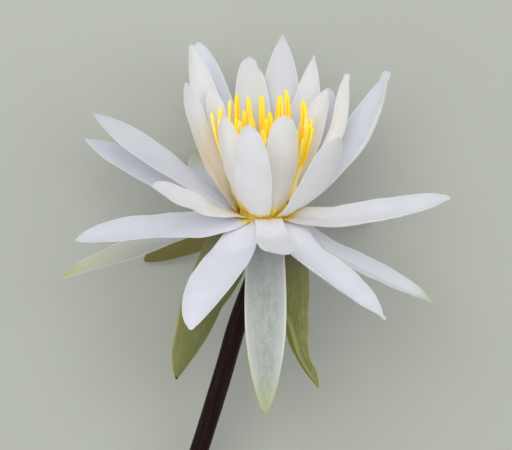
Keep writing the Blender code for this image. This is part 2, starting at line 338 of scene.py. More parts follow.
def stamenFinish(look):
    finish = Finish("stamenSkin", {
        "Subsurface Weight": 0.3,
        "Subsurface Scale": 0.001,
        "Specular IOR Level": 0.15,
        # painted glow: a little emitted light of the stamens' own colour
        "Emission Strength": 0.11,
    })
    along = finish.attribute("along")
    across = finish.attribute("across")
    inner = finish.attribute("inner")
    pollen = finish.cloud(finish.position(), look["pollenScale"])
    patches = finish.cloud(finish.position(), look["patchScale"])
    anther = finish.step(along, 0.42, 0.56)
    colour = finish.mix(anther, look["filament"], look["anther"])
    colour = finish.mix(finish.step(along, 0.60, 0.95), colour, look["tip"])
    # painted shade: darker orange down the groove between the pollen sacs, stronger on one face
    groove = finish.step(abs(across), 0.26, 0.04) * anther * finish.step(along, 0.98, 0.86)
    colour = finish.mix(groove * (0.3 + inner * 0.5), colour, look["groove"])
    colour = finish.mix(finish.step(pollen, 0.5, 0.7) * 0.35 * anther, colour, look["pollen"])
    colour = finish.mix(patches * 0.15, colour, look["deep"])
    colour = finish.mix(finish.attribute("pale") * (1 - groove), colour, look["pale"])
    finish.feed("Base Color", colour)
    finish.feed("Emission Color", colour)  # a painted glow: the anthers emit their own colour, standing in for light through them
    finish.feed("Roughness", 0.5 + pollen * 0.3)
    finish.bump(pollen * 0.6 + patches, 0.00018, 0.7)
    return finish.material


stemLook = {
    "dark": (0.007, 0.002, 0.0016),
    "light": (0.026, 0.008, 0.005),
    "patch": (0.028, 0.016, 0.008),
    "spot": (0.05, 0.022, 0.012),
    "flesh": (0.36, 0.40, 0.20),
    "fleshPale": (0.52, 0.50, 0.32),
    "patchScale": 90.0,
    "spotScale": 700.0,
}


def stemFinish(look):
    finish = Finish("stemSkin", {"Specular IOR Level": 0.12})
    along = finish.attribute("along")
    around = finish.attribute("across")
    cut = finish.attribute("inner")
    streaks = finish.cloud(finish.vector(around * 9.0, along * 3.0, 0.0), 3.0, 5.0)
    patches = finish.cloud(finish.position(), look["patchScale"], 4.0)
    dots = finish.cells(finish.position((1, 1, 0.4)), look["spotScale"])
    colour = finish.mix(finish.step(streaks, 0.35, 0.7), look["dark"], look["light"])
    colour = finish.mix(finish.step(patches, 0.5, 0.75) * 0.35, colour, look["patch"])
    colour = finish.mix(finish.step(dots, 0.22, 0.08) * 0.4, colour, look["spot"])
    flesh = finish.mix(patches, look["flesh"], look["fleshPale"])
    colour = finish.mix(cut, colour, flesh)
    finish.feed("Base Color", colour)
    finish.feed("Roughness", 0.42 + patches * 0.2 + cut * 0.15)
    finish.bump(streaks * 0.8 + patches * 0.5 + dots * 0.25, 0.0003, 0.6)
    return finish.material


heartLook = {
    "top": (0.93, 0.70, 0.07),
    "side": (0.90, 0.68, 0.10),
    "foot": (0.30, 0.28, 0.10),
    "scar": (0.30, 0.24, 0.08),
    "patchScale": 160.0,
}


def heartFinish(look):
    finish = Finish("heartSkin", {"Subsurface Weight": 0.1, "Subsurface Scale": 0.001})
    along = finish.attribute("along")
    around = finish.attribute("across")
    patches = finish.cloud(finish.position(), look["patchScale"], 4.0)
    scars = finish.cells(finish.vector(around * 24.0, along * 7.0, 0.0), 1.0)
    colour = finish.mix(finish.step(along, 0.25, 0.55), look["foot"], look["side"])
    colour = finish.mix(finish.step(along, 0.6, 0.9), colour, look["top"])
    colour = finish.mix(finish.step(scars, 0.5, 0.1) * 0.3 + patches * 0.2, colour, look["scar"])
    finish.feed("Base Color", colour)
    finish.feed("Roughness", 0.45 + patches * 0.25)
    finish.bump(scars * 0.6 + patches * 0.5, 0.0003, 0.6)
    return finish.material


petalSkin = petalFinish(petalLook)
sepalSkin = sepalFinish(sepalLook)
stamenSkin = stamenFinish(stamenLook)
stemSkin = stemFinish(stemLook)
heartSkin = heartFinish(heartLook)
print("materials made")


def smooth(low, high, value):
    share = max(0.0, min(1.0, (value - low) / (high - low)))
    return share * share * (3 - 2 * share)


def hump(value, peak, spread):
    # a bell curve, 1 at its peak
    return math.exp(-((value - peak) / spread) ** 2)


def spline(values, place):
    # a smooth value between the stations; place counts stations
    last = len(values) - 1
    i = max(0, min(int(place), last - 1))
    t = place - i
    a, b = values[i], values[i + 1]
    before, after = values[max(i - 1, 0)], values[min(i + 2, last)]
    bend = before * 2 - a * 5 + b * 4 - after
    return (a * 2 + (b - before) * t + bend * (t * t) + (a * 3 - before - b * 3 + after) * (t ** 3)) / 2


def ringsFrom(bm, start):
    # the vertices of a blade or tube, ring by ring from where it starts
    rings, seen, ring = [], set(start), list(start)
    while ring:
        rings.append(ring)
        following = {edge.other_vert(vert) for vert in ring for edge in vert.link_edges} - seen
        seen |= following
        ring = sorted(following, key=lambda vert: vert.index)
    return rings


def nodeMesh(name):
    # a merged copy of a node; the node itself is left alone
    bm = bmesh.new()
    bm.from_mesh(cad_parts[name].data)
    bmesh.ops.remove_doubles(bm, verts=bm.verts, dist=0.002 * mm)
    bm.verts.index_update()
    return bm


def middleOf(points):
    return sum(points, Vector()) / len(points)


def readBlade(name):
    # stations from the base to the tip: middle, side, half width and cup angle
    bm = nodeMesh(name)
    tip = max(bm.verts, key=lambda vert: (vert.co - heartPoint).length)
    rings = ringsFrom(bm, [tip])[:0:-1]
    stations = []
    for ring in rings:
        pairs = [(a.co, b.co) for a in ring for b in ring if a.index < b.index]
        left, right = max(pairs, key=lambda pair: (pair[0] - pair[1]).length)
        # the vertices nearest the middle: four on a petal's ring, two on a stamen's
        rest = sorted(ring, key=lambda vert: abs((vert.co - left).length - (vert.co - right).length))
        inside = middleOf([vert.co for vert in rest[:4 if len(ring) > 6 else 2]])
        stations.append([inside, left.copy(), right.copy()])
    tipPoint = tip.co.copy()
    bm.free()

    blade = {"middle": [], "side": [], "half": [], "cup": []}
    for i, (inside, left, right) in enumerate(stations):
        chord = (left + right) / 2
        side = (right - left).normalized()
        if i == 0:
            outward = inside - heartPoint
            outward -= bloomAxis * outward.dot(bloomAxis)
            if side.dot(bloomAxis.cross(outward)) < 0:
                side = -side
        elif side.dot(blade["side"][-1]) < 0:
            side = -side
        half = (right - left).length / 2
        toChord = (chord - inside) / 0.9  # their mean stops a little short of the arc's middle
        blade["middle"].append(chord - toChord)
        blade["side"].append(side)
        blade["half"].append(half)
        blade["cup"].append(max(math.atan2(toChord.length, half) * 2, 0.05))
    blade["middle"].append(tipPoint)
    blade["side"].append(blade["side"][-1].copy())
    blade["half"].append(0.0)
    blade["cup"].append(blade["cup"][-1])
    return blade


def lengthsAlong(blade, samples=60):
    # share of the length run at even places, and the length itself
    last = len(blade["middle"]) - 1
    points = [spline(blade["middle"], last * i / samples) for i in range(samples + 1)]
    run = [0.0]
    for a, b in zip(points, points[1:]):
        run.append(run[-1] + (b - a).length)
    return [value / run[-1] for value in run], run[-1]


def bladeFrame(blade, place):
    # middle, tangent, side and inner face at one place
    last = len(blade["middle"]) - 1
    ahead = spline(blade["middle"], min(last, place + 0.05))
    behind = spline(blade["middle"], max(0, place - 0.05))
    tangent = (ahead - behind).normalized()
    side = spline(blade["side"], place)
    side = (side - tangent * side.dot(tangent)).normalized()
    return spline(blade["middle"], place), tangent, side, tangent.cross(side)


bladeLook = {
    "sides": 44,
    "rings": 52,
    "thick": 0.85 * mm,  # at the foot
    "thin": 0.45 * mm,  # at the tip
    "rimShare": 0.45,  # thickness at the margins against the middle
    "inset": 0.06 * mm,  # kept clear of the frame's box
    "midrib": 0.25 * mm,
    "midribSpread": 0.16,  # share of the half width
    "ripple": 0.35 * mm,
    "rippleScale": 160,
    "rollFrom": 0.62,  # where across a blade its margin may roll
    "tipFrom": 0.55,  # where along a blade its tip may grow leaner
    "knobAt": 0.955,
    "knobSpread": 0.02,
    "notchSpread": 0.03,
    "cupLimit": 1.4,
}

# what every blade starts from; each blade's own row changes some of it
petalPlain = {
    "wide": 1.0,  # width against the frame's blade
    "base": 0.46,  # width at the base against the widest
    "sharp": 0.0,  # how much leaner the tip is than the frame's
    "tipCurl": 0.0,  # mm, towards the inside
    "tipSway": 0.0,  # mm, sideways
    "swayFrom": 0.6,  # where along the blade the two begin
    "twist": 0.0,  # degrees the blade turns about its midrib
    "footTwist": 0.0,  # the same just above its foot
    "blunt": 0.5,  # mm, half the width of the rounded tip
    "sag": 0.0,  # mm the blade hangs below the frame's
    "sagPeak": 0.5,  # where along it that is most
    "knob": 0.0,  # a pinch just before the tip
    "hood": 0.25,  # extra cupping near the tip
    "roll": 0.0,  # the margin at across -1 rolled in
    "fold": 0.0,  # a crease down the middle
    "wave": 0.35,  # mm of wander at the margins
    "notch": 0.0,  # a nick in the margin, negative at across -1
    "notchAt": 0.86,
}

# marks that the finishes read, 0 to 1, and lip -1 where the margin at across -1 is rolled over
markPlain = {
    "paintedSkyBlue": 0.35,
    "cream": 0.6,
    "olive": 0.0,
    "oliveTip": 0.0,
    "darkTip": 0.0,
    # how much painted shade a blade carries
    "paintedShade": 0.0,
    "band": 0.0,
    "lip": 0.0,
}

petalOwn = {
    "petal_outer_1": {"paintedSkyBlue": 0.85, "cream": 0.1, "tipSway": -1.5, "swayFrom": 0.35, "sharp": 0.22,
                      "wide": 1.19, "blunt": 1.2},
    "petal_outer_2": {"paintedSkyBlue": 0.75, "cream": 0.1, "knob": 0.3, "roll": 0.5, "base": 0.95, "wide": 1.2,
                      "sharp": 0.32, "blunt": 0.8, "sag": 2.0, "lip": -1.0},
    "petal_outer_3": {"paintedSkyBlue": 0.7, "cream": 0.1, "paintedShade": 0.3, "fold": 0.4, "oliveTip": 0.7, "base": 1.0,
                      "sag": 1.4, "blunt": 0.8},
    "petal_outer_4": {"paintedSkyBlue": 0.6, "cream": 0.3},
    "petal_outer_5": {"paintedSkyBlue": 0.5, "cream": 0.4, "oliveTip": 0.9},
    "petal_outer_6": {"paintedSkyBlue": 0.1, "cream": 0.2, "olive": 0.6, "paintedShade": 0.8, "oliveTip": 1.0, "sag": -2.0,
                      "sagPeak": 0.25, "base": 0.7, "blunt": 1.2},
    "petal_spread_1": {"paintedSkyBlue": 0.6, "cream": 0.05, "paintedShade": 0.15, "base": 0.7, "tipCurl": -2.4, "tipSway": 0.9,
                       "swayFrom": 0.55, "sag": -1.2, "blunt": 2.4, "hood": 0.0, "wave": 0.1},
    "petal_spread_2": {"paintedSkyBlue": 0.8, "cream": 0.1, "paintedShade": 0.15, "knob": 0.35, "roll": 0.5, "base": 1.0,
                       "blunt": 1.0, "twist": 6, "footTwist": 10, "sag": 0.5, "sagPeak": 0.65, "wave": 0.15,
                       "lip": -1.0},
    "petal_spread_3": {"paintedSkyBlue": 0.8, "cream": 0.2},
    "petal_spread_4": {"paintedSkyBlue": 0.6, "cream": 0.3},
    "petal_spread_5": {"paintedSkyBlue": 0.95, "cream": 0.1, "base": 0.7, "blunt": 0.8},
    "petal_spread_6": {"paintedSkyBlue": 0.9, "cream": 0.1, "base": 0.95, "paintedShade": 0.35, "footTwist": -20},
    "petal_cup_1": {"paintedSkyBlue": 0.3, "cream": 0.2, "sharp": 0.12, "base": 0.42},
    "petal_cup_2": {"paintedSkyBlue": 0.3, "cream": 0.2, "base": 0.55, "tipSway": -1.8, "swayFrom": 0.45, "blunt": 0.9},
    "petal_cup_3": {"paintedSkyBlue": 0.9, "cream": 0.2, "roll": 0.9, "sharp": 0.3, "blunt": 1.7, "twist": 28,
                    "paintedShade": 0.6, "lip": -1.0},
    "petal_cup_4": {"paintedSkyBlue": 0.6, "cream": 0.3, "sharp": 0.1, "paintedShade": 0.65},
    "petal_cup_5": {"paintedSkyBlue": 0.9, "cream": 0.2, "sharp": 0.12, "blunt": 1.2, "paintedShade": 0.4},
    "petal_cup_6": {"paintedSkyBlue": 0.8, "cream": 0.1, "base": 0.7, "blunt": 0.8, "paintedShade": 0.4},
    "petal_cup_7": {"paintedSkyBlue": 0.55, "cream": 0.2, "base": 0.8, "twist": -15},
    "petal_inner_1": {"paintedSkyBlue": 0.1, "cream": 0.6, "base": 0.4},
    "petal_inner_2": {"paintedSkyBlue": 0.4, "cream": 0.3, "wide": 0.62, "tipCurl": 3.0, "blunt": 1.2, "twist": 18,
                      "tipSway": 1.6},
    "petal_inner_3": {"paintedSkyBlue": 0.35, "cream": 0.4, "sharp": 0.22, "paintedShade": 0.3},
    "petal_inner_4": {"paintedSkyBlue": 0.3, "cream": 0.4, "notch": -0.22, "notchAt": 0.93, "paintedShade": 0.6},
    "petal_inner_5": {"paintedSkyBlue": 0.4, "cream": 0.3, "knob": 0.15, "blunt": 1.2},
    "petal_inner_6": {"paintedSkyBlue": 0.9, "cream": 0.05, "base": 0.7, "twist": -16, "wide": 0.82},
    "petal_core_1": {"paintedSkyBlue": 0.5, "cream": 0.3, "sharp": 0.15, "tipSway": -1.2},
    "petal_core_2": {"paintedSkyBlue": 0.1, "cream": 0.3, "wide": 0.85, "base": 0.6},
    "petal_core_3": {"paintedSkyBlue": 0.05, "cream": 0.6, "base": 0.6},
}

sepalOwn = {
    "sepal_front": {"wave": 0.12, "base": 0.8, "sharp": 0.12},
    "sepal_right": {"wave": 0.1, "roll": 0.3, "base": 1.0, "wide": 1.16, "tipCurl": 2.6, "swayFrom": 0.72,
                    "sag": 2.2, "sagPeak": 0.6, "footTwist": -42, "band": 1.0},
    "sepal_back": {"wave": 0.2, "twist": 52, "wide": 1.12, "base": 0.5, "blunt": 1.2, "sag": -5.0,
                   "sagPeak": 0.4, "tipCurl": -0.8, "olive": 0.85},
    "sepal_left": {"wave": 0.15, "base": 1.0, "wide": 1.12, "twist": 16, "tipSway": 1.6, "sharp": 0.2,
                   "sag": -2.6, "sagPeak": 0.25, "footTwist": 68, "darkTip": 1.0, "paintedShade": 0.6},
}

# all the blades leave the heart at nearly one level, mm up the axis, a little higher at the front
seam = {
    "middle": 1.2,
    "front": 1.2,
    "sepal": -1.4,
    "outer": -0.3,
    "spread": 0.1,
    "cup": 0.3,
    "inner": 0.9,
    "core": 1.6,
    "until": 0.32,  # how far along a blade its foot's move reaches
}


def keepInside(point):
    # the frame's box is the object's size
    low, high = cadBox
    gap = bladeLook["inset"]
    return Vector([min(max(c, a + gap), b - gap) for c, a, b in zip(point, low, high)])


def finishPiece(name, bm, skin, nodes, checkNormals=False):
    # an object at the origin with its finish, declared to the frame
    if checkNormals:
        bmesh.ops.recalc_face_normals(bm, faces=bm.faces)
    mesh = bpy.data.meshes.new(name)
    bm.to_mesh(mesh)
    bm.free()
    mesh.shade_smooth()
    mesh.materials.append(skin)
    piece = bpy.data.objects.new(name, mesh)
    bpy.context.scene.collection.objects.link(piece)
    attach(piece, "root")
    if nodes:
        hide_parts(*nodes)


def spherePlace(vert):
    # a unit sphere's vertex: share of the way from the top pole down, and its x and y round the ring
    polar = math.acos(max(-1.0, min(1.0, vert.co.z)))
    atPole = polar < 0.0001 or polar > math.pi - 0.0001
    around = math.atan2(vert.co.y, vert.co.x)
    return polar / math.pi, (0.0 if atPole else math.cos(around)), (0.0 if atPole else math.sin(around))


def bladeHalf(blade, shape, place, along, across):
    # half the width at one place, with the foot, the tip and any nick worked in
    share = place / (len(blade["middle"]) - 1)
    widest = max(blade["half"])
    belly = blade["half"].index(widest) / (len(blade["middle"]) - 1)
    half = max(0.0, spline(blade["half"], place))
    if share < belly:
        half = max(half, widest * (shape["base"] + (1 - shape["base"]) * smooth(0, belly, share)))
    half *= shape["wide"]
    tipFrom = bladeLook["tipFrom"]
    if along > tipFrom:
        half *= (max(0.0, 1 - along) / (1 - tipFrom)) ** shape["sharp"]
    half *= 1 - shape["knob"] * 0.5 * hump(along, bladeLook["knobAt"], bladeLook["knobSpread"])
    # the tip ends in a round cap
    cap = shape["blunt"] * mm
    toCap = min(1.0, max(0.0, 1 - (1 - along) * blade["length"] / cap))
    half = max(half, cap * math.sqrt(1 - toCap * toCap) * smooth(0.3, 0.8, along))
    if across * shape["notch"] > 0:
        half *= 1 - abs(shape["notch"]) * hump(along, shape["notchAt"], bladeLook["notchSpread"])
    return half


def footMoveOf(name, blade):
    # how far a blade's foot moves up the axis to leave the heart at the seam
    outward = blade["middle"][0] - heartPoint
    height = outward.dot(bloomAxis)
    outward = (outward - bloomAxis * height).normalized()
    family = name.split("_")[-2]
    level = seam["middle"] + seam["front"] * outward.dot(bloomFront) + seam[family]
    return level * mm - height


def shapeBlade(name, own, skin):
    look = bladeLook
    shape = {**petalPlain, **markPlain, **own}
    blade = readBlade(name)
    last = len(blade["middle"]) - 1
    run, blade["length"] = lengthsAlong(blade)
    footMove = footMoveOf(name, blade)
    dice = random.Random(name)
    waves = [(dice.uniform(1.0, 3.2), dice.uniform(0, math.tau), dice.uniform(0.4, 1.0)) for _ in range(3)]
    offset = Vector((dice.uniform(-50, 50), dice.uniform(-50, 50), dice.uniform(-50, 50)))
    sagPower = math.log(0.5) / math.log(shape["sagPeak"])
    bm = bmesh.new()
    bmesh.ops.create_uvsphere(bm, u_segments=look["sides"], v_segments=look["rings"], radius=1)
    layers = {key: bm.verts.layers.float.new(key) for key in ("along", "across", "inner", *markPlain)}
    for vert in bm.verts:
        fromTip, across, lift = spherePlace(vert)
        place = last * (1 - fromTip)
        along = spline(run, place / last * (len(run) - 1))
        middle, tangent, side, face = bladeFrame(blade, place)
        half = bladeHalf(blade, shape, place, along, across)

        # turned about the midrib, then cupped round an arc
        nearFoot = smooth(0, 0.12, along) * smooth(0.55, 0.15, along)
        degrees = shape["twist"] * smooth(0, 0.6, along) + shape["footTwist"] * nearFoot
        turn = Matrix.Rotation(math.radians(degrees), 3, tangent)
        side, face = turn @ side, turn @ face
        cup = spline(blade["cup"], place) * (1 + shape["hood"] * smooth(0.75, 1.0, along))
        cup = min(cup, look["cupLimit"])
        radius = half / math.sin(cup)
        angle = across * cup
        onArc = side * (math.sin(angle) * radius) + face * ((1 - math.cos(angle)) * radius)

        # one margin may roll further in than the blade's own cup
        roll = shape["roll"] if across < 0 else 0.0
        roll *= smooth(look["rollFrom"], 1.0, abs(across)) * smooth(0.02, 0.3, along)
        onArc += face * roll * half * 0.30 + side * roll * half * 0.10
        swing = angle - roll * 0.9
        skinOut = face * math.cos(swing) - side * math.sin(swing)

        # the crease and the midrib
        onArc += face * shape["fold"] * half * (abs(across) - 0.5) * 0.5
        onArc -= face * look["midrib"] * hump(across, 0, look["midribSpread"]) * (1 - along)

        # wandering margins and an uneven face
        wander = sum(weight * math.sin(turns * along * math.tau + phase + across * 1.3)
                     for turns, phase, weight in waves)
        onArc += face * wander * shape["wave"] * mm * 0.6 * abs(across) ** 2 * smooth(0, 0.4, along)
        ripple = noise.noise((middle + side * across * half) * look["rippleScale"] + offset)
        onArc += face * ripple * look["ripple"] * smooth(0.05, 0.3, along)

        # the tip's curl and sway, the foot's place at the seam, and the sag
        nearTip = smooth(shape["swayFrom"], 1.0, along) * mm
        onArc += face * shape["tipCurl"] * nearTip + side * shape["tipSway"] * nearTip
        onArc += bloomAxis * footMove * (1 - smooth(0, seam["until"], along))
        onArc -= face * shape["sag"] * mm * math.sin(math.pi * along ** sagPower)

        # thin skins either side, thinnest at the tip and the margins
        thick = look["thick"] + (look["thin"] - look["thick"]) * along
        thick *= look["rimShare"] + (1 - look["rimShare"]) * (1 - across * across)
        vert.co = keepInside(middle + onArc + skinOut * (thick / 2 * lift))
        vert[layers["along"]] = along
        vert[layers["across"]] = across
        vert[layers["inner"]] = 0.5 + 0.5 * max(-1.0, min(1.0, lift * 4))
        for key in markPlain:
            vert[layers[key]] = shape[key]
    finishPiece(name + "_fine", bm, skin, [name])


for name in sorted(petalOwn):
    shapeBlade(name, petalOwn[name], petalSkin)
print("petals shaped:", len(petalOwn))

for name in sorted(sepalOwn):
    shapeBlade(name, sepalOwn[name], sepalSkin)
print("sepals shaped:", len(sepalOwn))


stamenSet = {
    "sides": 16,
    "rings": 26,
    "filament": 0.9 * mm,  # half widths
    "anther": 1.25 * mm,
    "thick": 1.25 * mm,
    "lean": 1.4,  # mm the tips lean, at most
    "twist": 40,  # degrees, at most
    "curve": 0.5 * mm,
    "reach": (0.9, 1.0),  # length against the frame's
    "broad": (0.85, 1.25),  # width against the plain one
    "pale": 0.6,  # how far the palest fades
    "crowding": 1.35,  # above 1, rings crowd towards the tip
    "antherFrom": (0.38, 0.50),  # where along it the filament turns into the anther
    "roundFrom": 0.93,
    "groove": 0.45,  # depth against the thickness
    "grooveSpread": 0.22,
    "ringCounts": {"outer": 14, "inner": 11},  # of the frame's stamens
    "moreShrink": (0.84, 0.98),  # length of the added ones against the frame's
}

# where some tips lean, mm across the flower and up it
stamenOwn = {
    "stamen_outer_04": (-1.5, 0.0),
    "stamen_outer_05": (-4.2, 0.5),
    "stamen_outer_06": (-2.8, 0.5),
    "stamen_outer_07": (1.6, 0.0),
    "stamen_outer_08": (-1.4, -0.5),
    "stamen_outer_09": (0.8, -1.0),
    "stamen_outer_10": (2.0, -1.5),
    "stamen_more_17": (-1.5, 2.0),
    "stamen_more_18": (-1.0, 4.5),
}


def turnedBlade(blade, degrees, shrink):
    # a copy of a stamen's stations, turned round the flower's axis
    turn = Matrix.Rotation(math.radians(degrees), 3, bloomAxis)
    foot = blade["middle"][0]
    middles = [turn @ (foot + (point - foot) * shrink - heartPoint) + heartPoint for point in blade["middle"]]
    return {"middle": middles, "side": [turn @ side for side in blade["side"]]}


def shapeStamen(name, blade, nodes, look):
    last = len(blade["middle"]) - 1
    run = lengthsAlong(blade)[0]
    dice = random.Random(name)
    leanAcross, leanUp = dice.uniform(-1, 1) * look["lean"], 0.0
    leanFront = dice.uniform(-1, 1) * look["lean"]
    reach = dice.uniform(*look["reach"]) if nodes else 1.0
    if name in stamenOwn:
        leanAcross, leanUp = stamenOwn[name]
        reach = 1.0
    twist = math.radians(dice.uniform(-1, 1) * look["twist"])
    broad = dice.uniform(*look["broad"])
    curve = dice.uniform(-1, 1) * look["curve"]
    pale = dice.uniform(0, 1) ** 2 * look["pale"]
    bm = bmesh.new()
    bmesh.ops.create_uvsphere(bm, u_segments=look["sides"], v_segments=look["rings"], radius=1)
    layers = {key: bm.verts.layers.float.new(key) for key in ("along", "across", "inner", "pale")}
    for vert in bm.verts:
        fromTip, across, lift = spherePlace(vert)
        fromTip = fromTip ** look["crowding"]
        along = spline(run, (1 - fromTip) * (len(run) - 1))
        middle, tangent, side, face = bladeFrame(blade, last * (1 - fromTip) * reach)
        turn = Matrix.Rotation(twist * along, 3, tangent)
        side, face = turn @ side, turn @ face
        anther = smooth(*look["antherFrom"], along)
        half = look["filament"] * (1.1 - 0.5 * along) * (1 - anther) + look["anther"] * anther
        half *= broad * (1 - 0.22 * smooth(0.6, 1.0, along))
        toTip = max(0.0, along - look["roundFrom"]) / (1 - look["roundFrom"])
        half *= math.sqrt(max(0.0, 1 - toTip ** 2))
        half *= 0.8 + 0.2 * smooth(0.0, 0.1, along)
        thick = min(look["thick"] * (0.5 + 0.5 * anther), half * 1.6)
        # two pollen sacs with a groove between them
        groove = anther * smooth(0.99, 0.9, along) * look["groove"] * hump(across, 0, look["grooveSpread"])
        co = middle + side * across * half + face * lift * thick / 2 * (1 - groove)
        co += face * curve * math.sin(along * math.pi * 1.6)
        co += Vector((leanAcross, 0, leanFront)) * mm * along ** 2 + bloomAxis * leanUp * mm * along
        vert.co = keepInside(co)
        vert[layers["along"]] = along
        vert[layers["across"]] = across
        vert[layers["inner"]] = 0.5 + 0.5 * lift
        vert[layers["pale"]] = pale
    finishPiece(name + "_fine", bm, stamenSkin, nodes)


stamenNodes = sorted(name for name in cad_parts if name.startswith("stamen"))
stamenBlades = {name: readBlade(name) for name in stamenNodes}
for name, blade in stamenBlades.items():
    shapeStamen(name, blade, [name], stamenSet)

# more stamens stand in the gaps than the frame carries
for number, (name, blade) in enumerate(stamenBlades.items(), 1):
    dice = random.Random("more " + name)
    between = 180 / stamenSet["ringCounts"][name.split("_")[1]] + dice.uniform(-4, 4)
    more = turnedBlade(blade, between, dice.uniform(*stamenSet["moreShrink"]))
    shapeStamen(f"stamen_more_{number:02d}", more, [], stamenSet)
print("stamens shaped:", len(stamenBlades) * 2)


def axisPlace(point):
    # height along the flower's axis and distance from it
    offset = point - heartPoint
    height = offset.dot(bloomAxis)
    return height, (offset - bloomAxis * height).length


def bloomMatrix():
    # from the flower's own axes to the table's
    across = Vector((1, 0, 0))
    front = bloomAxis.cross(across)
    turn = Matrix((across, front, bloomAxis)).transposed()
    return Matrix.Translation(heartPoint) @ turn.to_4x4()


def profileOf(name):
    # the outline of a turned node: radius against height
    bm = nodeMesh(name)
    places = sorted(axisPlace(vert.co) for vert in bm.verts)
    bm.free()
    rows = []
    for height, radius in places:
        if rows and height - rows[-1][0] < 0.1 * mm:
            rows[-1][1] = max(rows[-1][1], radius)
        else:
            rows.append([height, radius])
    return rows


# the piece that carries the petals
heartSet = {
    "steps": 72,
    "rows": 30,
    "ribs": 16,
    "ribDepth": 0.12 * mm,
}


def shapeHeart(look):
    rows = profileOf("heart")
    heights = [row[0] for row in rows]
    radii = [row[1] for row in rows]
    bm = bmesh.new()
    bmesh.ops.create_uvsphere(bm, u_segments=look["steps"], v_segments=look["rows"], radius=1)
    layers = {key: bm.verts.layers.float.new(key) for key in ("along", "across")}
    place = bloomMatrix()
    for vert in bm.verts:
        fromTop, x, y = spherePlace(vert)
        spot = (1 - fromTop) * (len(rows) - 1)
        around = math.atan2(y, x)
        radius = max(0.0, spline(radii, spot))
        if x == 0.0 and y == 0.0:
            radius = 0.0
        radius -= look["ribDepth"] * (0.5 + 0.5 * math.cos(around * look["ribs"])) * min(1.0, radius / mm)
        height = spline(heights, spot)
        local = Vector((radius * math.cos(around), radius * math.sin(around), height))
        vert.co = place @ local
        vert[layers["along"]] = 1 - fromTop
        vert[layers["across"]] = around / math.tau
    finishPiece("heart_fine", bm, heartSkin, ["heart"], True)


stigmaSet = {
    "styles": 16,
    "steps": 128,
    "rows": 30,
    "ridge": 0.22 * mm,
    "section": [  # share of the radius and of the height, from the bowl's middle out and round to the foot
        (0.0, 0.42), (0.10, 0.46), (0.13, 0.34), (0.22, 0.26), (0.45, 0.34), (0.66, 0.50), (0.80, 0.74),
        (0.86, 0.98), (0.95, 0.97), (1.0, 0.72), (0.93, 0.45), (0.80, 0.2), (0.68, 0.02), (0.4, 0.0),
        (0.0, 0.0)],
}


def shapeStigma(look):
    places = [axisPlace(vert.co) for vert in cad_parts["stigma"].data.vertices]
    low = min(height for height, radius in places)
    tall = max(height for height, radius in places) - low
    wide = max(radius for height, radius in places)
    radii = [radius for radius, height in look["section"]]
    heights = [height for radius, height in look["section"]]
    bm = bmesh.new()
    bmesh.ops.create_uvsphere(bm, u_segments=look["steps"], v_segments=look["rows"], radius=1)
    layers = {key: bm.verts.layers.float.new(key) for key in ("along", "across", "inner")}
    place = bloomMatrix()
    for vert in bm.verts:
        fromTop, x, y = spherePlace(vert)
        spot = fromTop * (len(radii) - 1)
        around = math.atan2(y, x)
        radius = max(0.0, spline(radii, spot)) * wide
        height = low + max(0.0, min(1.0, spline(heights, spot))) * tall
        crest = 0.5 + 0.5 * math.cos(around * look["styles"])
        if x == 0.0 and y == 0.0:
            radius = 0.0
        # grooves between the styles, over the bowl and through its rim; the limits count section rows
        onTop = smooth(2.5, 4.5, spot) * (1 - smooth(8.5, 10, spot))
        height -= look["ridge"] * (1 - crest) * onTop * 2
        rim = smooth(5.5, 7, spot) * (1 - smooth(9, 11, spot))
        radius *= 1 - 0.12 * rim * (1 - crest)
        height -= tall * 0.25 * rim * (1 - crest)
        local = Vector((radius * math.cos(around), radius * math.sin(around), max(low, height)))
        vert.co = place @ local
        vert[layers["along"]] = 0.45 + 0.5 * rim
        vert[layers["across"]] = 1 - crest
        vert[layers["inner"]] = 0.5
    finishPiece("stigma_fine", bm, stamenSkin, ["stigma"], True)


stemSet = {
    "nodeSides": 10,  # round the frame's stem
    "sides": 48,
    "steps": 90,
    "swell": 1.05,  # radius against the frame's
    "ridges": 7,
    "ridgeDepth": 0.05 * mm,
    "lump": 0.10 * mm,
    "lumpScale": 90,
    "canals": [  # shares of the radius: how far out, and the hole's radius; count and first angle
        (0.45, 0.24, 4, 45),
        (0.74, 0.10, 8, 22.5),
    ],
    "canalSides": 16,
    "canalDepth": 4 * mm,
    "fleshShare": 0.94,  # the rest is skin
}


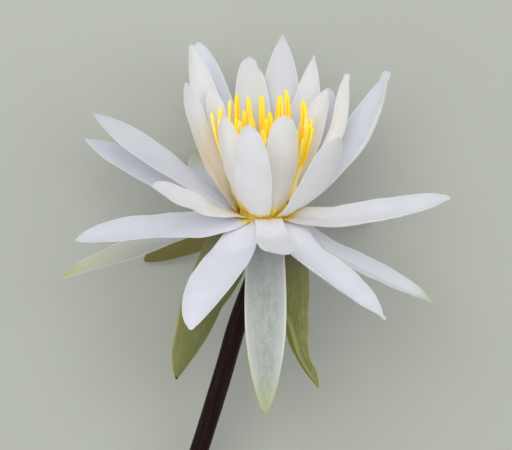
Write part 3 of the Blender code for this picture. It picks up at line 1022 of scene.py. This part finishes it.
def shapeStem(look):
    bm = nodeMesh("stem")
    nearest = sorted(bm.verts, key=lambda vert: (vert.co - heartPoint).length)
    rings = ringsFrom(bm, nearest[:look["nodeSides"]])
    centres = [middleOf([vert.co for vert in ring]) for ring in rings]
    radius = (rings[2][0].co - centres[2]).length
    bm.free()
    last = len(centres) - 1
    side = Vector((1, 0, 0))

    bm = bmesh.new()
    layers = {key: bm.verts.layers.float.new(key) for key in ("along", "across", "inner")}
    bmesh.ops.create_circle(bm, segments=look["sides"], radius=1)
    loop = list(bm.edges)
    unit = [vert.co.copy() for vert in bm.verts]
    ring = list(bm.verts)

    def frameAt(place):
        # centre, tangent and the two directions across
        ahead = spline(centres, min(last, place + 0.05))
        behind = spline(centres, max(0, place - 0.05))
        tangent = (ahead - behind).normalized()
        across = (side - tangent * side.dot(tangent)).normalized()
        return spline(centres, place), tangent, across, tangent.cross(across)

    def placeRing(verts, step):
        centre, tangent, across, up = frameAt(last * step / look["steps"])
        for vert, spot in zip(verts, unit):
            around = math.atan2(spot.y, spot.x)
            lump = noise.noise((centre + across * spot.x * radius) * look["lumpScale"]) * look["lump"]
            ridge = look["ridgeDepth"] * (math.cos(around * look["ridges"]) - 1)
            reach = radius * look["swell"] + ridge - abs(lump)
            vert.co = keepInside(centre + (across * spot.x + up * spot.y) * reach)
            vert[layers["along"]] = step / look["steps"]
            vert[layers["across"]] = around / math.tau

    placeRing(ring, 0)
    for step in range(1, look["steps"] + 1):
        grown = bmesh.ops.extrude_edge_only(bm, edges=loop)["geom"]
        loop = [item for item in grown if isinstance(item, bmesh.types.BMEdge)]
        fresh = {item for item in grown if isinstance(item, bmesh.types.BMVert)}
        ring = [next(edge.other_vert(old) for edge in old.link_edges if edge.other_vert(old) in fresh)
                for old in ring]
        placeRing(ring, step)

    # the cut: pale flesh inside a thin skin, and air canals that run up into it
    centre, tangent, across, up = frameAt(last)
    for edge in loop:
        edge.smooth = False  # a crisp edge round the cut
    grown = bmesh.ops.extrude_edge_only(bm, edges=loop)["geom"]
    loop = [item for item in grown if isinstance(item, bmesh.types.BMEdge)]
    for vert in grown:
        if isinstance(vert, bmesh.types.BMVert):
            vert.co = centre + (vert.co - centre) * look["fleshShare"]
            vert[layers["inner"]] = 1.0
    turn = Matrix((across, up, tangent)).transposed().to_4x4()
    canalLoops = []
    for out, hole, count, first in look["canals"]:
        for i in range(count):
            angle = math.radians(first + 360 * i / count)
            spot = Matrix.Translation(centre) @ turn @ Matrix.Translation(
                (math.cos(angle) * out * radius, math.sin(angle) * out * radius, 0))
            made = bmesh.ops.create_circle(
                bm, segments=look["canalSides"], radius=hole * radius, matrix=spot)["verts"]
            canalLoops.append(list({edge for vert in made for edge in vert.link_edges}))
    bmesh.ops.triangle_fill(
        bm, edges=loop + [edge for edges in canalLoops for edge in edges], use_dissolve=False)
    for edges in canalLoops:
        grown = bmesh.ops.extrude_edge_only(bm, edges=edges)["geom"]
        deep = [item for item in grown if isinstance(item, bmesh.types.BMVert)]
        bmesh.ops.translate(bm, verts=deep, vec=tangent * -look["canalDepth"])
        bmesh.ops.contextual_create(bm, geom=[item for item in grown if isinstance(item, bmesh.types.BMEdge)])
        for vert in deep + [vert for edge in edges for vert in edge.verts]:
            vert[layers["inner"]] = 1.0
            vert[layers["along"]] = 1.0
    # the other end closes inside the heart
    top = [edge for edge in bm.edges if edge.is_boundary]
    bmesh.ops.contextual_create(bm, geom=top)
    finishPiece("stem_fine", bm, stemSkin, ["stem"], True)


shapeHeart(heartSet)
shapeStigma(stigmaSet)
shapeStem(stemSet)
print("heart, stigma and stem shaped")


studio = {
    "floorColour": (0.49, 0.51, 0.45),
    "floorShade": (0.42, 0.44, 0.385),
    "floorSize": 3.0,
    "lamps": [  # name, power, width, place
        ("key", 3.9, 0.7, (-0.14, 0.34, 0.80)),
        ("fillRight", 1.35, 0.6, (0.50, 0.05, 0.60)),
        ("fillLeft", 0.9, 0.6, (-0.50, -0.30, 0.50)),
    ],
    "sky": 0.43,
    "skyColour": (0.95, 0.97, 1.0),
    "lens": 192.0,
    "reach": 0.9,  # camera above the heart
    "shift": (-2.64 * mm, -1.98 * mm),  # camera off the heart's own place
}


def floorFinish(look):
    finish = Finish("tableTop", {"Specular IOR Level": 0.2})
    grain = finish.cloud(finish.position(), 260.0, 4.0)
    drift = finish.cloud(finish.position(), 5.0, 2.0)
    colour = finish.mix(grain * 0.14 + drift * 0.12, look["floorColour"], look["floorShade"])
    finish.feed("Base Color", colour)
    finish.feed("Roughness", 0.75 + grain * 0.15)
    finish.bump(grain, 0.0001, 0.2)
    return finish.material


def makeFloor(look):
    bm = bmesh.new()
    bmesh.ops.create_grid(bm, x_segments=2, y_segments=2, size=look["floorSize"] / 2)
    mesh = bpy.data.meshes.new("floor")
    bm.to_mesh(mesh)
    bm.free()
    mesh.materials.append(floorFinish(look))
    floor = bpy.data.objects.new("floor", mesh)
    bpy.context.scene.collection.objects.link(floor)


def makeLight(name, power, width, place, target):
    data = bpy.data.lights.new(name, "AREA")
    data.energy = power
    data.size = width
    lamp = bpy.data.objects.new(name, data)
    lamp.location = place
    lamp.rotation_euler = (Vector(target) - Vector(place)).to_track_quat("-Z", "Y").to_euler()
    bpy.context.scene.collection.objects.link(lamp)


def makeCamera(look):
    data = bpy.data.cameras.new("camera")
    data.sensor_width = 36
    data.lens = look["lens"]
    camera = bpy.data.objects.new("camera", data)
    camera.location = heartPoint + Vector((look["shift"][0], look["shift"][1], look["reach"]))
    bpy.context.scene.collection.objects.link(camera)
    bpy.context.scene.camera = camera


def makeSky(look):
    world = bpy.data.worlds.new("studio")
    world.use_nodes = True
    background = world.node_tree.nodes["Background"]
    background.inputs["Color"].default_value = (*look["skyColour"], 1)
    background.inputs["Strength"].default_value = look["sky"]
    bpy.context.scene.world = world


makeFloor(studio)
for name, power, width, place in studio["lamps"]:
    makeLight(name, power, width, place, heartPoint)
makeSky(studio)
makeCamera(studio)
bpy.context.scene.view_settings.view_transform = "Standard"
print("floor, light and camera placed")
